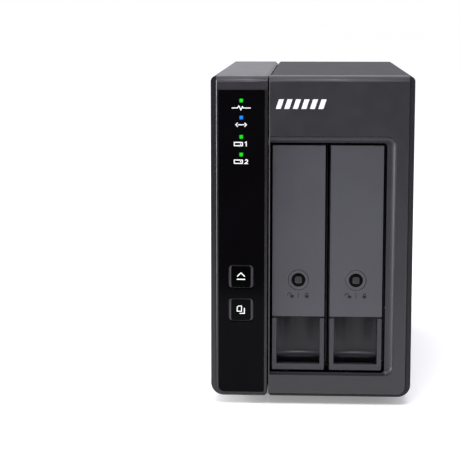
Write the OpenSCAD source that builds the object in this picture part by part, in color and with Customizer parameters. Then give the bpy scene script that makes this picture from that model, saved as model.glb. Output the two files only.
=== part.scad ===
/* [Case] */
// Width over the two side walls
case_w = 102; // [101:0.5:104]
// Depth from the front face to the rear edge
case_d = 219; // [218:0.5:224]
// Height from the table to the top
case_h = 168.5; // [168:0.5:172]
// Height of the rubber feet
foot_h = 5; // [4:0.5:5]
// Thickness of the outer covers
wall = 2.4; // [2:0.1:2.6]
// Outer radius along the lower edges
lower_r = 6.5; // [5.5:0.5:7]
// Outer radius along the upper edges
upper_r = 2.5; // [1.5:0.5:2.5]
// Radius where the front turns into the top
brow_r = 3.3; // [2:0.1:3.4]

/* [Front] */
// Width of the glossy control strip, left of the seam
strip_w = 29; // [28.5:0.1:29.5]
// Width of the plain side wall edge seen from the front
edge_w = 2.6; // [2.4:0.1:2.8]
// Side of a square status light
light_w = 1.8; // [1.4:0.1:2.2]
// Width of a front button
button_w = 12.9; // [11:0.1:13.5]
// Height of a front button
button_h = 12.1; // [11:0.1:13]
// How far a front button travels
button_travel = 1; // [0.6:0.1:1]

/* [Trays] */
// Distance between the two bays
bay_pitch = 29.3; // [29.1:0.1:29.5]
// Width of a tray's face
tray_w = 26.6; // [26.2:0.1:26.8]
// Height of the finger scoop, from the tray's lower edge
scoop_h = 26.9; // [24:0.1:30]
// Radius of the lock's outer ring
lock_r = 5.3; // [5:0.1:5.6]

/* [Fan] */
// Side of the square fan
fan_w = 80; // [80:1:80]
// Depth of the fan
fan_d = 25; // [20:1:25]
// Number of fan blades
fan_blades = 7; // [5:1:9]

/* [Hidden] */

// Outer planes of the case
left_x = -case_w / 2;
right_x = case_w / 2;
front_y = -case_d / 2;
back_y = case_d / 2;
base_z = foot_h;
top_z = case_h;

// The seam between the control strip and the drive side
seam_x = left_x + strip_w;
seam_gap = 0.25;
seam_groove = 1.1;
lap_t = 1.2;

// Front panels: plate thickness, depth of the top flange, set-back of the side walls
plate_t = 3.5;
plate_back_y = front_y + plate_t;
brow_d = 14.5;
cover_front_y = front_y + 0.8;
panel_z = base_z + 1.2;
panel_corner_r = 4.6;
panel_edge_r = 0.8;

// Dark window laid into the control strip
window_t = 1.2;
window_lo = [seam_x - 25.2, panel_z + 0.7];
window_hi = [seam_x - 1.8, top_z - 6.8];
window_r = 3;
fit = 0.1;

// Lights and buttons share one upright line
lights_x = seam_x - 13.7;
light_z = [156.3, 147.8, 138.1, 129.2];
eject_z = 66.9;
copy_z = 49.8;
button_r = 1.8;
button_gap = 0.2;
button_front_y = front_y + 0.25;
button_back_y = plate_back_y + 2;

// Bay opening through the bezel, in a shallow pocket with a cove along its top and right
bay_left_x = seam_x + 0.9;
bay_lo = [bay_left_x, 16.9];
bay_hi = [seam_x + 59.7, 135.1];
bay_r = 2;
pocket_lo = [bay_left_x, 16];
pocket_hi = [seam_x + 64.2, 138.7];
pocket_r = 4.5;
cove_r = 3;

// Tray faces
face_y = plate_back_y;
tray_z = 18.2;
tray_top_z = 133.8;
tray_front_back_y = face_y + 17;
scoop_top_z = tray_z + scoop_h;
lip_t = 3;
lip_back_y = face_y + 2;
scoop_r = 30;
shelf_z = tray_z + 4.8;
shelf_t = 0.8;
shelf_y = face_y + 11.5;
foot_r = 3;
side_t = 2.2;
cheek_in = 11.2;
cheek_out = 12.9;
back_wall_y = face_y + 14.5;

// Lever that closes a tray: hinge pin near the top, lock near the bottom
hinge_y = face_y + 3.1;
hinge_z = 128;
pin_r = 1;
run_fit = 0.05;
barrel_r = 2.2;
lever_z = scoop_top_z + 0.8;
lever_t = 3;
lever_skin = 1;
lever_half_in = cheek_in - 0.3;
lever_edge_r = 0.5;
lock_z = 64.9;
plug_r = 3.5;
boss_w = 4.5;

// Drive bay cage around the trays
cage_front_y = -92;
cage_back_y = 74;
cage_x0 = seam_x - 0.2;
cage_x1 = seam_x + 60;
cage_floor_z = 17.9;
cage_roof_z = 135.3;
sheet = 1;
cage_plate = 1.5;
leg_x = [-14, 20];
leg_y = [-80, 60];
inner_base_z = base_z + wall;

// Hard drive, standing on its long side
drive_t = 26.1;
drive_len = 147;
drive_h = 101.6;
drive_x = -12.8;
drive_y = -86;
drive_z = 25;
drive_end_y = drive_y + drive_len;
drive_hole_y = [drive_end_y - 28.5, drive_end_y - 130.1];
rail_x0 = -13.9;
rail_z0 = 18.4;
rail_z1 = 133.4;
frame_end_y = 56;

// Boards
pcb_t = 1.6;
board_x = -27;
board_z = 12;
board_top_z = 140;
board_front_y = -95;
board_back_y = 76;
board_tail_z = 68;
board_tail_y = 104.6;
led_board_y = front_y + 10.5;
backplane_y = 66.3;
standoff_at = [[-85, 24], [-85, 128], [-10, 24], [50, 24], [50, 128]];
led_post_at = [[-43, 85], [-29, 85], [-43, 160], [-29, 160]];

// Rear
rear_y = back_y - 4.5;
rear_t = 1.2;
rear_out_y = rear_y + rear_t;
rear_inset = wall + 0.3;
boss_at = [[left_x + 5.7, 18], [left_x + 5.7, 160], [right_x - 5.7, 18], [right_x - 5.7, 160]];
boss_r = 3.6;
fan_x = 7.5;
fan_z = 114;
fan_front_y = rear_y - fan_d;
fan_hole = fan_w / 2 - 4.25;
duct_r = fan_w / 2 - 2.5;
hub_r = 17;
usb_z = 36;
jack_z = 22;
dip_z = 54;
dip_slider_dz = 1.8;
set_z = 64;
set_x = board_x - 3;
slot_at = [30, 34];

// Fan lead: four control points of one smooth curve
lead_r = 1.2;
lead_points = [[-29.5, 40, 125], [-30, 56, 125], [-33, 62, 138], [-30.5, fan_front_y, 138]];
lead_steps = 14;

round_fn = 48;
small_fn = 32;

function bay_x(n) = seam_x + 15.5 + (n - 1) * bay_pitch;

// A block between two corners
module block(lo, hi) {
    translate(lo) cube(hi - lo);
}

// Round bars along each axis
module rod_x(y, z, r, x0, x1) {
    translate([x0, y, z]) rotate([0, 90, 0]) cylinder(h = x1 - x0, r = r, $fn = round_fn);
}

module rod_y(x, z, r, y0, y1) {
    translate([x, y1, z]) rotate([90, 0, 0]) cylinder(h = y1 - y0, r = r, $fn = round_fn);
}

module rod_z(x, y, r, z0, z1) {
    translate([x, y, z0]) cylinder(h = z1 - z0, r = r, $fn = round_fn);
}

// An outline in X and Z with depth along Y
module front_plate(y0, y1) {
    translate([0, y1, 0]) rotate([90, 0, 0]) linear_extrude(y1 - y0) children();
}

// An outline in Y and Z with width along X
module side_plate(x0, x1) {
    translate([x0, 0, 0]) rotate([90, 0, 90]) linear_extrude(x1 - x0) children();
}

// What is cut away outside the arc at one corner of an outline
module corner_cut(corner, inward, r) {
    centre = corner + r * inward;
    far = corner - inward;
    difference() {
        translate([min(centre.x, far.x), min(centre.y, far.y)]) square(r + 1);
        translate(centre) circle(r = r, $fn = round_fn);
    }
}

// A rectangle whose corners have radii: lower left, lower right, upper right, upper left
module rounded4(lo, hi, radii) {
    corners = [lo, [hi.x, lo.y], hi, [lo.x, hi.y]];
    inward = [[1, 1], [-1, 1], [-1, -1], [1, -1]];
    difference() {
        translate(lo) square(hi - lo);
        for (i = [0:3]) {
            if (radii[i] > 0) corner_cut(corners[i], inward[i], radii[i]);
        }
    }
}

module rounded(lo, hi, r) {
    rounded4(lo, hi, [r, r, r, r]);
}

// A rounded rectangle about a centre
module rounded_at(centre, size, r) {
    half = size / 2;
    rounded(centre - half, centre + half, r);
}

// The case seen from the front, set in by some amount
module case_outline(inset) {
    low = max(lower_r - inset, 0.4);
    high = max(upper_r - inset, 0);
    rounded4([left_x + inset, base_z + inset], [right_x - inset, top_z - inset], [low, low, high, high]);
}

// The outline that the two front panels share
module panel_outline(grow) {
    r = panel_corner_r + grow;
    rounded4([left_x + edge_w - grow, panel_z - grow], [right_x - edge_w + grow, top_z + grow], [r, r, 0, 0]);
}

// One of the two covers, from x0 to x1
module cover(x0, x1) {
    difference() {
        front_plate(cover_front_y, back_y) difference() {
            intersection() {
                case_outline(0);
                translate([x0, 0]) square([x1 - x0, case_h + 1]);
            }
            case_outline(wall);
            for (z = [base_z, top_z]) translate([seam_x, z]) rotate(45) square(seam_groove * 2, center = true);
        }
        front_plate(front_y - 1, plate_back_y + 0.6) panel_outline(0.2);
        block([left_x + edge_w - 0.2, front_y - 1, top_z - 9], [right_x - edge_w + 0.2, front_y + brow_d + 0.2, top_z + 1]);
    }
}

module cover_bosses(from, to) {
    for (i = [from:to]) rod_y(boss_at[i].x, boss_at[i].y, boss_r, rear_y - 13, rear_y);
}

module boss_holes() {
    for (p = boss_at) rod_y(p.x, p.y, 1.45, rear_y - 10, rear_y + 1);
}

// Strips along the left cover's edges that close the seam from inside
module seam_laps() {
    for (side = [[top_z - wall, -1], [base_z + wall, 1]]) front_plate(front_y + brow_d + 1, rear_y - 0.5) {
        far = side[0] + side[1] * lap_t;
        near = side[0] + side[1] * 0.1;
        translate([seam_x - 3, min(near, far)]) square([5.5, lap_t - 0.1]);
        translate([seam_x - 3, min(side[0] - side[1] * 0.5, far)]) square([3 - seam_gap, lap_t + 0.5]);
    }
}

module left_cover() {
    color("#3b3a40") difference() {
        union() {
            cover(left_x, seam_x - seam_gap);
            cover_bosses(0, 1);
            seam_laps();
        }
        boss_holes();
    }
}

module right_cover() {
    color("#2f2f33") difference() {
        union() {
            cover(seam_x + seam_gap, right_x);
            cover_bosses(2, 3);
        }
        boss_holes();
        // Air slots under the bays
        for (i = [0:6]) {
            translate([-12 + i * 6, -10, base_z - 1]) linear_extrude(wall + 2) rounded_at([0, 0], [3, 90], 1.4);
        }
        // Holes and counterbores for the screws that hold the cage
        for (x = leg_x, y = leg_y) {
            rod_z(x, y, 1.7, base_z - 1, base_z + wall + 1);
            rod_z(x, y, 3.2, base_z - 1, base_z + 1.2);
        }
    }
}

// A front panel with a rounded brow, from x0 to x1
module front_panel(x0, x1) {
    intersection() {
        front_plate(front_y - 1, front_y + brow_d) intersection() {
            panel_outline(0);
            translate([x0, 0]) square([x1 - x0, case_h]);
        }
        side_plate(x0 - 1, x1 + 1) difference() {
            rounded4([front_y, panel_z], [front_y + brow_d + 1, top_z], [panel_edge_r, 0, 0, brow_r]);
            translate([plate_back_y, 0]) square([brow_d + 2, top_z - wall]);
        }
        linear_extrude(case_h + 1) {
            rounded4([x0, front_y], [x1, back_y], [panel_edge_r, panel_edge_r, 0, 0]);
        }
    }
}

// A round corner of the pocket, swept about an axis along Y
module pocket_corner(centre) {
    translate([centre.x, front_y, centre.y]) rotate([-90, 0, 0]) rotate_extrude($fn = round_fn) {
        translate([0, -1]) square([pocket_r - cove_r, cove_r + 1]);
        intersection() {
            translate([pocket_r - cove_r, 0]) circle(r = cove_r, $fn = round_fn);
            translate([0, -1]) square([pocket_r, cove_r + 1]);
        }
    }
}

module bay_pocket() {
    in_x = pocket_hi.x - cove_r;
    in_z = pocket_hi.y - cove_r;
    end_x = pocket_hi.x - pocket_r;
    block([pocket_lo.x, front_y - 1, pocket_lo.y], [end_x, front_y + cove_r, in_z]);
    block([end_x - 1, front_y - 1, pocket_lo.y + pocket_r], [in_x, front_y + cove_r, pocket_hi.y - pocket_r]);
    rod_z(in_x, front_y, cove_r, pocket_lo.y + pocket_r, pocket_hi.y - pocket_r);
    rod_x(front_y, in_z, cove_r, pocket_lo.x, end_x);
    pocket_corner([end_x, pocket_lo.y + pocket_r]);
    pocket_corner([end_x, pocket_hi.y - pocket_r]);
}

module bay_opening() {
    bay_pocket();
    front_plate(front_y - 1, plate_back_y + 1) rounded4(bay_lo, bay_hi, [0, bay_r, bay_r, 0]);
}

module front_bezel() {
    color("#37373b") difference() {
        front_panel(seam_x + seam_gap, right_x - edge_w);
        bay_opening();
    }
}

module window_outline(grow) {
    rounded4(window_lo - [grow, grow], window_hi + [grow, grow], [window_r, 1, 0.6, 0.6]);
}

module button_outline(z, grow) {
    rounded_at([lights_x, z], [button_w + 2 * grow, button_h + 2 * grow], button_r + grow);
}

module led_panel() {
    color("#26262a") difference() {
        union() {
            front_panel(left_x + edge_w, seam_x - seam_gap);
            for (p = led_post_at) rod_y(p.x, p.y, 2.6, plate_back_y, led_board_y);
        }
        front_plate(front_y - 1, front_y + window_t) window_outline(0);
        front_plate(front_y - 1, plate_back_y + 1) {
            for (z = light_z) rounded_at([lights_x, z], [light_w + 0.4, light_w + 0.4], 0.3);
            for (z = [eject_z, copy_z]) button_outline(z, button_gap);
        }
        for (p = led_post_at) rod_y(p.x, p.y, 1.1, plate_back_y + 1, led_board_y + 1);
    }
}

module front_window() {
    color("#0c0c0e") front_plate(front_y + fit, front_y + window_t) difference() {
        window_outline(-fit);
        for (z = light_z) rounded_at([lights_x, z], [light_w + 0.2, light_w + 0.2], 0.2);
        for (z = [eject_z, copy_z]) button_outline(z, button_gap);
    }
}

module led_lenses() {
    color("#40e070") for (z = light_z) {
        front_plate(front_y + 0.05, led_board_y - 1.4) rounded_at([lights_x, z], [light_w, light_w], 0.15);
    }
}

module led_board() {
    color("#14402c") difference() {
        block([-46.5, led_board_y, 38], [-25.5, led_board_y + pcb_t, 164]);
        for (p = led_post_at) rod_y(p.x, p.y, 1.3, led_board_y - 1, led_board_y + pcb_t + 1);
    }
}

// A small push switch whose stem points along Y
module tact_switch(x, z, y, stem) {
    y0 = min(y, y + stem * 2.6);
    tip = y + stem * 3.7;
    block([x - 3, y0, z - 3], [x + 3, y0 + 2.6, z + 3]);
    rod_y(x, z, 1.6, min(y, tip), max(y, tip));
}

module tact_switches() {
    color("#8c8c90") {
        for (z = [eject_z, copy_z]) tact_switch(lights_x, z, led_board_y, -1);
        tact_switch(set_x, set_z, rear_y - 6.3, 1);
    }
}

module front_button(z) {
    color("#101012") {
        front_plate(button_front_y, button_back_y) button_outline(z, 0);
        front_plate(plate_back_y + 0.3, plate_back_y + 1.5) button_outline(z, 0.9);
    }
}

module eject_button() {
    front_button(eject_z);
}

module copy_button() {
    front_button(copy_z);
}

module rubber_feet() {
    color("#1b1b1c") for (sx = [-1, 1], sy = [-1, 1]) {
        translate([sx * (case_w / 2 - 15), sy * (case_d / 2 - 27), 0]) rotate_extrude($fn = round_fn) {
            rounded4([0, 0], [7.5, foot_h], [0, 1, 0, 0]);
        }
    }
}

// Drive cage
module cage_plate_outline() {
    difference() {
        translate([cage_x0, cage_front_y]) square([cage_x1 - cage_x0, cage_back_y - cage_front_y]);
        for (n = [1, 2], i = [0:4]) rounded_at([bay_x(n), -70 + i * 27], [14, 18], 3);
    }
}

module cage_base() {
    color("#26272a") translate([0, 0, cage_floor_z - cage_plate]) linear_extrude(cage_plate) cage_plate_outline();
}

module cage_top() {
    color("#26272a") translate([0, 0, cage_roof_z]) linear_extrude(cage_plate) cage_plate_outline();
}

module cage_wall(x, y1) {
    color("#26272a") side_plate(x, x + sheet) difference() {
        translate([cage_front_y, cage_floor_z]) square([y1 - cage_front_y, cage_roof_z - cage_floor_z]);
        for (i = [0:3], k = [0:2]) rounded_at([-74 + i * 34, 48 + k * 28], [18, 20], 4);
    }
}

module cage_left_wall() {
    cage_wall(cage_x0, 60);
}

module cage_right_wall() {
    cage_wall(cage_x1 - sheet, cage_back_y);
}

module cage_divider() {
    cage_wall(bay_x(1) + 13.85, backplane_y);
}

module cage_screws() {
    color("#8f9297") for (x = leg_x, y = leg_y) {
        rod_z(x, y, 3, base_z + 0.1, base_z + 1.2);
        rod_z(x, y, 1.4, base_z + 1.2, cage_floor_z - cage_plate - 2);
    }
}

// Boards and what is on them
module main_board() {
    color("#14402c") side_plate(board_x, board_x + pcb_t) difference() {
        union() {
            translate([board_front_y, board_z]) square([board_back_y - board_front_y, board_top_z - board_z]);
            translate([board_front_y, board_z]) square([board_tail_y - board_front_y, board_tail_z - board_z]);
        }
        for (p = standoff_at) translate(p) circle(r = 1.6, $fn = small_fn);
    }
}

module standoffs() {
    color("#c8a858") difference() {
        union() {
            for (p = standoff_at) rod_x(p.x, p.y, 2.6, board_x + pcb_t, cage_x0);
            for (x = leg_x, y = leg_y) rod_z(x, y, 4, inner_base_z, cage_floor_z - cage_plate);
        }
        for (p = standoff_at) rod_x(p.x, p.y, 1.4, board_x, cage_x0 + 1);
        for (x = leg_x, y = leg_y) rod_z(x, y, 1.45, inner_base_z - 1, cage_floor_z);
    }
}

module board_screws() {
    color("#8f9297") {
        for (p = standoff_at) {
            rod_x(p.x, p.y, 2.6, board_x - 1.5, board_x);
            rod_x(p.x, p.y, 1.3, board_x, cage_x0 - 0.3);
        }
        for (p = led_post_at) {
            rod_y(p.x, p.y, 2.3, led_board_y + pcb_t, led_board_y + pcb_t + 1.4);
            rod_y(p.x, p.y, 1, led_board_y - 5, led_board_y + pcb_t);
        }
    }
}

module heatsink() {
    color("#9da1a6") {
        block([board_x - 3.4, -2, 84], [board_x - 1.4, 24, 110]);
        for (i = [0:6]) block([board_x - 10, -2, 84 + i * 4], [board_x - 3.4, 24, 85.6 + i * 4]);
    }
}

module board_chips() {
    color("#1a1b1d") {
        block([board_x - 1.4, 4, 90], [board_x, 18, 104]);
        block([board_x - 1.4, 58, 30], [board_x, 68, 40]);
        block([board_x - 1.2, -40, 60], [board_x, -32, 66]);
        block([board_x - 1.2, -40, 96], [board_x, -32, 104]);
        block([board_x - 3, 66, 16], [board_x, 74, 24]);
        for (z = light_z) block([lights_x - 0.8, led_board_y - 1, z - 0.8], [lights_x + 0.8, led_board_y, z + 0.8]);
    }
}

module board_connectors() {
    color("#e6e2d4") {
        // Header between the light board and the main board
        block([board_x - 4, led_board_y + pcb_t, 108], [board_x, board_front_y + 6, 128]);
        // Header between the main board and the backplane
        block([board_x + pcb_t, backplane_y - 5, 78], [cage_x0 + 5, backplane_y, 104]);
        // Fan socket
        block([board_x - 5, 34, 121], [board_x, 40, 129]);
    }
}

module backplane_board() {
    color("#14402c") front_plate(backplane_y, backplane_y + pcb_t) difference() {
        translate([cage_x0 + 1.2, cage_floor_z]) square([cage_x1 - cage_x0 - 2.4, cage_roof_z - cage_floor_z]);
        for (n = [1, 2]) {
            rounded_at([bay_x(n) + 4, 42], [15, 34], 3);
            rounded_at([bay_x(n) + 4, 114], [15, 30], 3);
            rounded_at([bay_x(n) + 5.5, 79], [9, 30], 2);
        }
    }
}

// Where a drive's plug and its socket meet
plug_x = drive_x + 4.8;
plug_z0 = 66;
plug_z1 = 102;

module sata_sockets() {
    color("#1c1c1e") for (n = [1, 2]) translate([bay_x(n), 0, 0]) difference() {
        block([plug_x - 2, drive_end_y - 4, plug_z0 - 2], [plug_x + 2, backplane_y, plug_z1 + 2]);
        block([plug_x - 0.95, drive_end_y - 5, plug_z0 - 0.4], [plug_x + 0.95, drive_end_y + 1, plug_z1 + 0.4]);
    }
}

module usb_c_port() {
    x1 = board_x;
    color("#c9ccd0") difference() {
        front_plate(rear_y - 6.9, rear_out_y + 0.2) rounded_at([x1 - 1.65, usb_z], [3.3, 9], 1.5);
        front_plate(rear_y - 5.4, rear_out_y + 1) rounded_at([x1 - 1.65, usb_z], [2.6, 8.3], 1.2);
    }
    color("#2a2a2c") block([x1 - 2, rear_y - 5.4, usb_z - 3.3], [x1 - 1.3, rear_out_y - 0.6, usb_z + 3.3]);
}

module dc_jack() {
    color("#161617") difference() {
        block([board_x - 11, rear_y - 13, jack_z - 4.6], [board_x, rear_out_y, jack_z + 4.6]);
        rod_y(board_x - 5.8, jack_z, 3.3, rear_y - 8, rear_out_y + 1);
    }
    color("#c9ccd0") rod_y(board_x - 5.8, jack_z, 1.05, rear_y - 8, rear_y - 0.4);
}

module dip_switch() {
    color("#a02028") difference() {
        block([board_x - 9, rear_y - 8, dip_z - 4.2], [board_x, rear_y - 0.4, dip_z + 4.2]);
        for (s = [-1, 1]) {
            block([board_x - 7.9, rear_y - 2, dip_z + s * dip_slider_dz - 0.9],
                [board_x - 3.7, rear_y, dip_z + s * dip_slider_dz + 0.9]);
        }
    }
}

module dip_slider(s) {
    z = dip_z + s * dip_slider_dz;
    color("#f0f0ee") block([board_x - 7.6, rear_y - 1.7, z - 0.6], [board_x - 6, rear_out_y - 0.2, z + 0.6]);
}

module set_button() {
    color("#d8d8d6") {
        rod_y(set_x, set_z, 2, rear_y - 1.5, rear_out_y + 0.8);
        rod_y(set_x, set_z, 2.9, rear_y - 1.5, rear_y - 0.4);
    }
}

module rear_panel() {
    color("#2b2b2e") front_plate(rear_y, rear_out_y) difference() {
        case_outline(rear_inset);
        for (p = boss_at) translate(p) circle(r = 1.6, $fn = small_fn);
        translate([fan_x, fan_z]) {
            circle(r = duct_r + 0.5, $fn = round_fn);
            for (sx = [-1, 1], sz = [-1, 1]) translate([sx, sz] * fan_hole) circle(r = 2.2, $fn = small_fn);
        }
        rounded_at([board_x - 1.65, usb_z], [4, 9.7], 1.9);
        rounded_at([board_x - 5.5, jack_z], [11.6, 9.8], 0.8);
        rounded_at([board_x - 5.5, dip_z], [7.6, 8], 0.6);
        translate([set_x, set_z]) circle(r = 2.3, $fn = small_fn);
        rounded_at(slot_at, [3, 7], 1.2);
        // Vents under the fan
        for (i = [0:5]) rounded_at([fan_x - 8.5 + i * 5, 52], [2.4, 26], 1.1);
    }
}

module panel_screws() {
    color("#1e1e20") for (p = boss_at) {
        rod_y(p.x, p.y, 2.8, rear_out_y, rear_out_y + 1.6);
        rod_y(p.x, p.y, 1.35, rear_y - 8, rear_out_y);
    }
}

// Fan
module fan_square(y0, y1) {
    front_plate(y0, y1) rounded_at([fan_x, fan_z], [fan_w, fan_w], 4);
}

module fan_frame() {
    color("#1d1d1f") difference() {
        union() {
            difference() {
                union() {
                    fan_square(fan_front_y, fan_front_y + 4);
                    fan_square(rear_y - 4, rear_y);
                    intersection() {
                        fan_square(fan_front_y, rear_y);
                        rod_y(fan_x, fan_z, fan_w / 2 + 1.5, fan_front_y, rear_y);
                    }
                }
                rod_y(fan_x, fan_z, duct_r, fan_front_y - 1, rear_y + 1);
            }
            intersection() {
                for (a = [0:3]) translate([fan_x, 0, fan_z]) rotate([0, 20 + a * 90, 0]) {
                    block([10, fan_front_y, -1.5], [duct_r + 1, fan_front_y + 3, 1.5]);
                }
                rod_y(fan_x, fan_z, duct_r + 0.8, fan_front_y, rear_y);
            }
            rod_y(fan_x, fan_z, 15, fan_front_y, fan_front_y + 4);
            rod_y(fan_x, fan_z, 4, fan_front_y, fan_front_y + 15);
        }
        for (sx = [-1, 1], sz = [-1, 1]) {
            rod_y(fan_x + sx * fan_hole, fan_z + sz * fan_hole, 2.2, fan_front_y - 1, rear_y + 1);
        }
        rod_y(fan_x, fan_z, 1.5 + run_fit, fan_front_y + 1, rear_y + 1);
    }
}

module fan_rotor() {
    cup_y = fan_front_y + 4.6;
    cap_y = rear_y - 2.6;
    color("#26262a") {
        difference() {
            rod_y(fan_x, fan_z, hub_r, cup_y, cap_y);
            rod_y(fan_x, fan_z, hub_r - 2, cup_y - 1, cap_y - 2);
        }
        rod_y(fan_x, fan_z, 1.5, fan_front_y + 1.6, cap_y - 1);
        intersection() {
            for (i = [0:fan_blades - 1]) translate([fan_x, (cup_y + cap_y) / 2, fan_z]) {
                rotate([0, i * 360 / fan_blades, 0]) rotate([38, 0, 0]) block([hub_r - 1, -13, -0.7], [duct_r + 4, 13, 0.7]);
            }
            difference() {
                rod_y(fan_x, fan_z, duct_r - 0.8, cup_y + 0.5, cap_y - 0.5);
                rod_y(fan_x, fan_z, hub_r - 0.6, cup_y, cap_y);
            }
        }
    }
}

module fan_guard() {
    rings = [[0, 8.5], [16, 17.6], [24.5, 26.1], [33, 34.6], [duct_r - 1, duct_r + 1.5]];
    color("#9a9da2") front_plate(rear_out_y, rear_out_y + 1.2) translate([fan_x, fan_z]) difference() {
        union() {
            for (ring = rings) difference() {
                circle(r = ring[1], $fn = round_fn);
                if (ring[0] > 0) circle(r = ring[0], $fn = round_fn);
            }
            for (a = [0:45:315]) rotate(a) translate([5, -0.9]) square([duct_r - 5, 1.8]);
            for (a = [45:90:315]) rotate(a) translate([duct_r, -2.5]) square([fan_hole * sqrt(2) - duct_r, 5]);
            for (sx = [-1, 1], sz = [-1, 1]) translate([sx, sz] * fan_hole) circle(r = 4.2, $fn = small_fn);
        }
        for (sx = [-1, 1], sz = [-1, 1]) translate([sx, sz] * fan_hole) circle(r = 2.2, $fn = small_fn);
    }
}

module fan_screws() {
    color("#8f9297") for (sx = [-1, 1], sz = [-1, 1]) {
        x = fan_x + sx * fan_hole;
        z = fan_z + sz * fan_hole;
        rod_y(x, z, 3.6, rear_out_y + 1.2, rear_out_y + 2.9);
        rod_y(x, z, 2.1, rear_y - 10, rear_out_y + 1.2);
    }
}

// Fan lead, swept along a cubic curve
function curve_point(t) = pow(1 - t, 3) * lead_points[0] + 3 * t * pow(1 - t, 2) * lead_points[1]
    + 3 * t * t * (1 - t) * lead_points[2] + pow(t, 3) * lead_points[3];
lead_ring = 8;
function ring_point(t, a) = curve_point(t) + lead_r * [cos(a), 0, sin(a)];

module fan_cable() {
    points = [for (i = [0:lead_steps], k = [0:lead_ring - 1]) ring_point(i / lead_steps, k * 360 / lead_ring)];
    sides = [for (i = [0:lead_steps - 1], k = [0:lead_ring - 1]) [
        i * lead_ring + k, i * lead_ring + (k + 1) % lead_ring,
        (i + 1) * lead_ring + (k + 1) % lead_ring, (i + 1) * lead_ring + k
    ]];
    first = [for (k = [0:lead_ring - 1]) lead_ring - 1 - k];
    last = [for (k = [0:lead_ring - 1]) lead_steps * lead_ring + k];
    color("#202022") polyhedron(points, concat([first], sides, [last]));
}

// Trays
module at_bay(n) {
    translate([bay_x(n), 0, 0]) children();
}

module scoop_space() {
    inner = tray_w / 2 - side_t;
    // Concave back whose foot curves forward onto a shelf
    intersection() {
        block([-inner, face_y - 1, shelf_z - 1], [inner, back_wall_y + 1, scoop_top_z + 1]);
        translate([0, back_wall_y - scoop_r, 0]) rotate_extrude($fn = round_fn * 2) {
            rounded4([0, shelf_z], [scoop_r, scoop_top_z + 1], [0, foot_r, 0, 0]);
        }
    }
    // Above the front lip, then the trench behind it, which runs under the shelf
    block([-inner, face_y - 1, tray_z + lip_t], [inner, shelf_y, shelf_z + 0.1]);
    block([-inner, lip_back_y, tray_z + 0.7], [inner, shelf_y, shelf_z + 0.1]);
    block([-inner, lip_back_y, tray_z + 0.7], [inner, tray_front_back_y + 1, shelf_z - shelf_t]);
}

module tray_front(n) {
    half = tray_w / 2;
    color("#3d3e43") at_bay(n) difference() {
        union() {
            difference() {
                front_plate(face_y, tray_front_back_y) rounded4([-half, tray_z], [half, scoop_top_z], [0.6, 0.6, 0.3, 0.3]);
                scoop_space();
            }
            // Cheeks that carry the hinge pin
            for (s = [-1, 1]) {
                x0 = min(s * cheek_in, s * cheek_out);
                x1 = max(s * cheek_in, s * cheek_out);
                block([x0, face_y + 1.2, scoop_top_z - 1], [x1, tray_front_back_y, hinge_z]);
                block([x0, hinge_y, hinge_z - 1], [x1, tray_front_back_y, hinge_z + 1.8]);
                rod_x(hinge_y, hinge_z, 1.8, x0, x1);
            }
            // Back wall and top edge
            block([-cheek_out, back_wall_y, scoop_top_z - 1], [cheek_out, tray_front_back_y, tray_top_z - 0.2]);
            block([-cheek_out, back_wall_y - 5, tray_top_z - 2.2], [cheek_out, tray_front_back_y, tray_top_z - 0.2]);
        }
        rod_x(hinge_y, hinge_z, pin_r, -half - 1, half + 1);
        // Air holes in the back wall
        for (i = [0:5]) {
            front_plate(back_wall_y - 1, tray_front_back_y + 1) rounded_at([0, 56 + i * 13], [15, 6], 2.5);
        }
    }
}

module lever_pin(n) {
    color("#b4b7bb") at_bay(n) rod_x(hinge_y, hinge_z, pin_r, -cheek_out, cheek_out);
}

module lever(n) {
    half = tray_w / 2;
    edge = [lever_edge_r, lever_edge_r, lever_edge_r, lever_edge_r];
    color("#59595e") at_bay(n) difference() {
        union() {
            intersection() {
                front_plate(face_y, face_y + lever_t) rounded4([-half, lever_z], [half, tray_top_z], edge);
                union() {
                    side_plate(-half - 1, half + 1) {
                        rounded4([face_y, lever_z], [face_y + lever_skin, tray_top_z], [lever_edge_r, 0, 0, lever_edge_r]);
                    }
                    block([-lever_half_in, face_y + 0.5, lever_z + 0.6], [lever_half_in, face_y + lever_t, tray_top_z - 0.6]);
                }
            }
            rod_x(hinge_y, hinge_z, barrel_r, -lever_half_in, lever_half_in);
            for (s = [-1, 1]) block([s * 8.7 - 0.6, face_y + 2, lever_z + 4], [s * 8.7 + 0.6, face_y + 5, hinge_z - 4]);
        }
        rod_x(hinge_y, hinge_z, pin_r + run_fit, -half, half);
        rod_y(0, lock_z, lock_r, face_y - 1, face_y + 6);
    }
}

module lock_ring(n) {
    color("#59595e") at_bay(n) difference() {
        union() {
            rod_y(0, lock_z, lock_r - 0.18, face_y - 0.15, face_y + 4.6);
            rod_y(0, lock_z, lock_r + 1.4, face_y + lever_t, face_y + 4.6);
        }
        rod_y(0, lock_z, plug_r + run_fit, face_y - 1, face_y + 6);
    }
}

module lock(n) {
    color("#1b1b1d") at_bay(n) {
        rod_y(0, lock_z, plug_r, face_y + 1, face_y + 5.4);
        front_plate(face_y + 0.2, face_y + 2) rounded_at([0, lock_z], [boss_w, boss_w], 1.3);
        // Tongue behind the lever
        front_plate(face_y + 5.2, face_y + 6.8) rounded4([-2.3, lock_z - 7.5], [2.3, lock_z + 3.2], [2, 2, 1, 1]);
    }
}

module tray_plate(n) {
    color("#45464b") at_bay(n) side_plate(rail_x0, rail_x0 + 1) difference() {
        translate([tray_front_back_y, rail_z0]) square([frame_end_y - tray_front_back_y, rail_z1 - rail_z0]);
        for (i = [0:4], k = [0:2]) rounded_at([-68 + i * 26, 50 + k * 26], [20, 20], 4);
    }
}

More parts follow.
